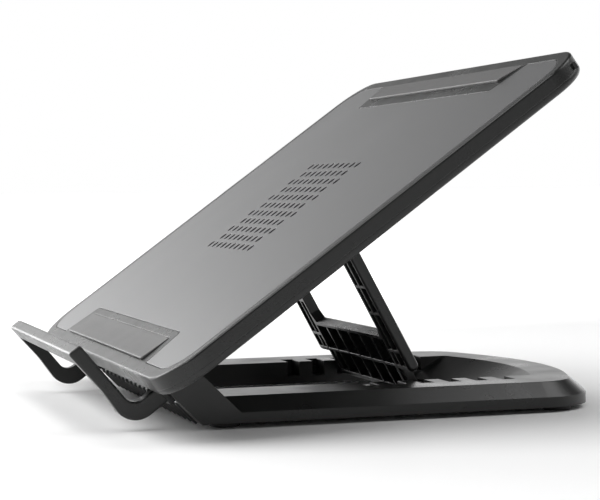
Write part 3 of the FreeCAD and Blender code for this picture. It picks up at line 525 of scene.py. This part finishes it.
# from and to on the floor, m, and the glow there: painted light, the floor glows more away from the object and
# towards -x
PAINTED_GLOW_LEFT = (-0.4, -1.0, 0.0, 0.8)
PAINTED_GLOW_FAR = (1.0, 2.0, 0.0, 0.9)
floor_mesh = bpy.data.meshes.new("floor")
floor_bm = bmesh.new()
bmesh.ops.create_grid(floor_bm, x_segments=1, y_segments=1, size=FLOOR_HALF)
floor_bm.to_mesh(floor_mesh)
floor_bm.free()
floor = bpy.data.objects.new("floor", floor_mesh)
bpy.context.scene.collection.objects.link(floor)
floor_look = Shader("floor_look", FLOOR_COLOR, 0.6, specular=0.25)
floor_look.set("Emission Color", WHITE)
far_x = floor_look.add("ShaderNodeSeparateXYZ", Vector=floor_look.place).outputs["X"]
distance = floor_look.add("ShaderNodeVectorMath")
distance.operation = "LENGTH"
floor_look.feed(distance.inputs[0], floor_look.place)
# painted light: emission on the floor, strongest far from the object and towards -x, so the far floor reads white
painted_glow = floor_look.add("ShaderNodeMath")
painted_glow.operation = "MAXIMUM"
floor_look.feed(painted_glow.inputs[0], floor_look.ranged(far_x, *PAINTED_GLOW_LEFT))
floor_look.feed(painted_glow.inputs[1], floor_look.ranged(distance.outputs["Value"], *PAINTED_GLOW_FAR))
floor_look.link(painted_glow.outputs[0], "Emission Strength")
floor_mesh.materials.append(floor_look.material)


# name, place, point aimed at, side in metres, watts
LIGHTS = [
    ("top_light", (0.0, -0.9, 1.5), (0, 0, 0), 2.0, 34),
    ("left_light", (-1.5, -0.9, 0.55), (0, 0, 0.08), 1.1, 18),
    ("rear_light", (0.3, 1.2, 1.4), (0, 0, 0), 1.2, 13),
]


def soft_light(name, place, aim, size, power):
    """Square area light at a place, turned to a point."""
    data = bpy.data.lights.new(name, "AREA")
    data.size = size
    data.energy = power
    made = bpy.data.objects.new(name, data)
    made.location = place
    made.rotation_mode = "QUATERNION"
    made.rotation_quaternion = (Vector(aim) - Vector(place)).to_track_quat("-Z", "Y")
    bpy.context.scene.collection.objects.link(made)


for light in LIGHTS:
    soft_light(*light)

# from and to of the direction's part, and the strength there
SKY_SIDEWAYS = (-0.6, 0.7, 1.0, 0.42)
SKY_UPWARD = (0.1, 0.44, 1.35, 0.08)
SKY_SEEN = 1.0                       # strength of what the camera sees directly
world = bpy.data.worlds.new("studio")
bpy.context.scene.world = world
world.use_nodes = True
sky = world.node_tree
background = sky.nodes["Background"]


def sky_node(kind, *inputs):
    """World node whose first inputs are linked to sockets or set to numbers."""
    node = sky.nodes.new(kind)
    for socket, value in zip(node.inputs, inputs):
        if isinstance(value, bpy.types.NodeSocket):
            sky.links.new(value, socket)
        else:
            socket.default_value = value
    return node


direction = sky_node("ShaderNodeTexCoord").outputs["Generated"]
parts_of = sky_node("ShaderNodeSeparateXYZ", direction).outputs
sideways = sky_node("ShaderNodeMapRange", parts_of["X"], *SKY_SIDEWAYS).outputs["Result"]
upward = sky_node("ShaderNodeMapRange", parts_of["Z"], *SKY_UPWARD).outputs["Result"]
product = sky_node("ShaderNodeMath", sideways, upward)
product.operation = "MULTIPLY"
seen = sky_node("ShaderNodeLightPath").outputs["Is Camera Ray"]
choice = sky_node("ShaderNodeMix", seen)
choice.data_type = "FLOAT"
sky.links.new(product.outputs[0], choice.inputs["A"])
choice.inputs["B"].default_value = SKY_SEEN
sky.links.new(choice.outputs["Result"], background.inputs["Strength"])
background.inputs["Color"].default_value = WHITE
bpy.context.scene.view_settings.view_transform = "Standard"

# ---------------------------------------------------------------- camera
SENSOR = 36.0                # mm
LENS = 110.785               # mm
CLIP_START = 0.05            # m
EYE = Vector((0.90391, -0.28478, 0.10994))
YAW, PITCH, ROLL = math.radians(72.63), math.radians(1.97), math.radians(-0.63)

look = Vector((-math.sin(YAW) * math.cos(PITCH), math.cos(YAW) * math.cos(PITCH), -math.sin(PITCH)))
level = look.cross(Vector((0, 0, 1))).normalized()
upright = level.cross(look)
right = level * math.cos(ROLL) + upright * math.sin(ROLL)
top = upright * math.cos(ROLL) - level * math.sin(ROLL)
camera_data = bpy.data.cameras.new("camera")
camera_data.sensor_width = SENSOR
camera_data.lens = LENS
camera_data.clip_start = CLIP_START
camera = bpy.data.objects.new("camera", camera_data)
camera.matrix_world = Matrix.Translation(EYE) @ Matrix((right, top, -look)).transposed().to_4x4()
bpy.context.scene.collection.objects.link(camera)
bpy.context.scene.camera = camera
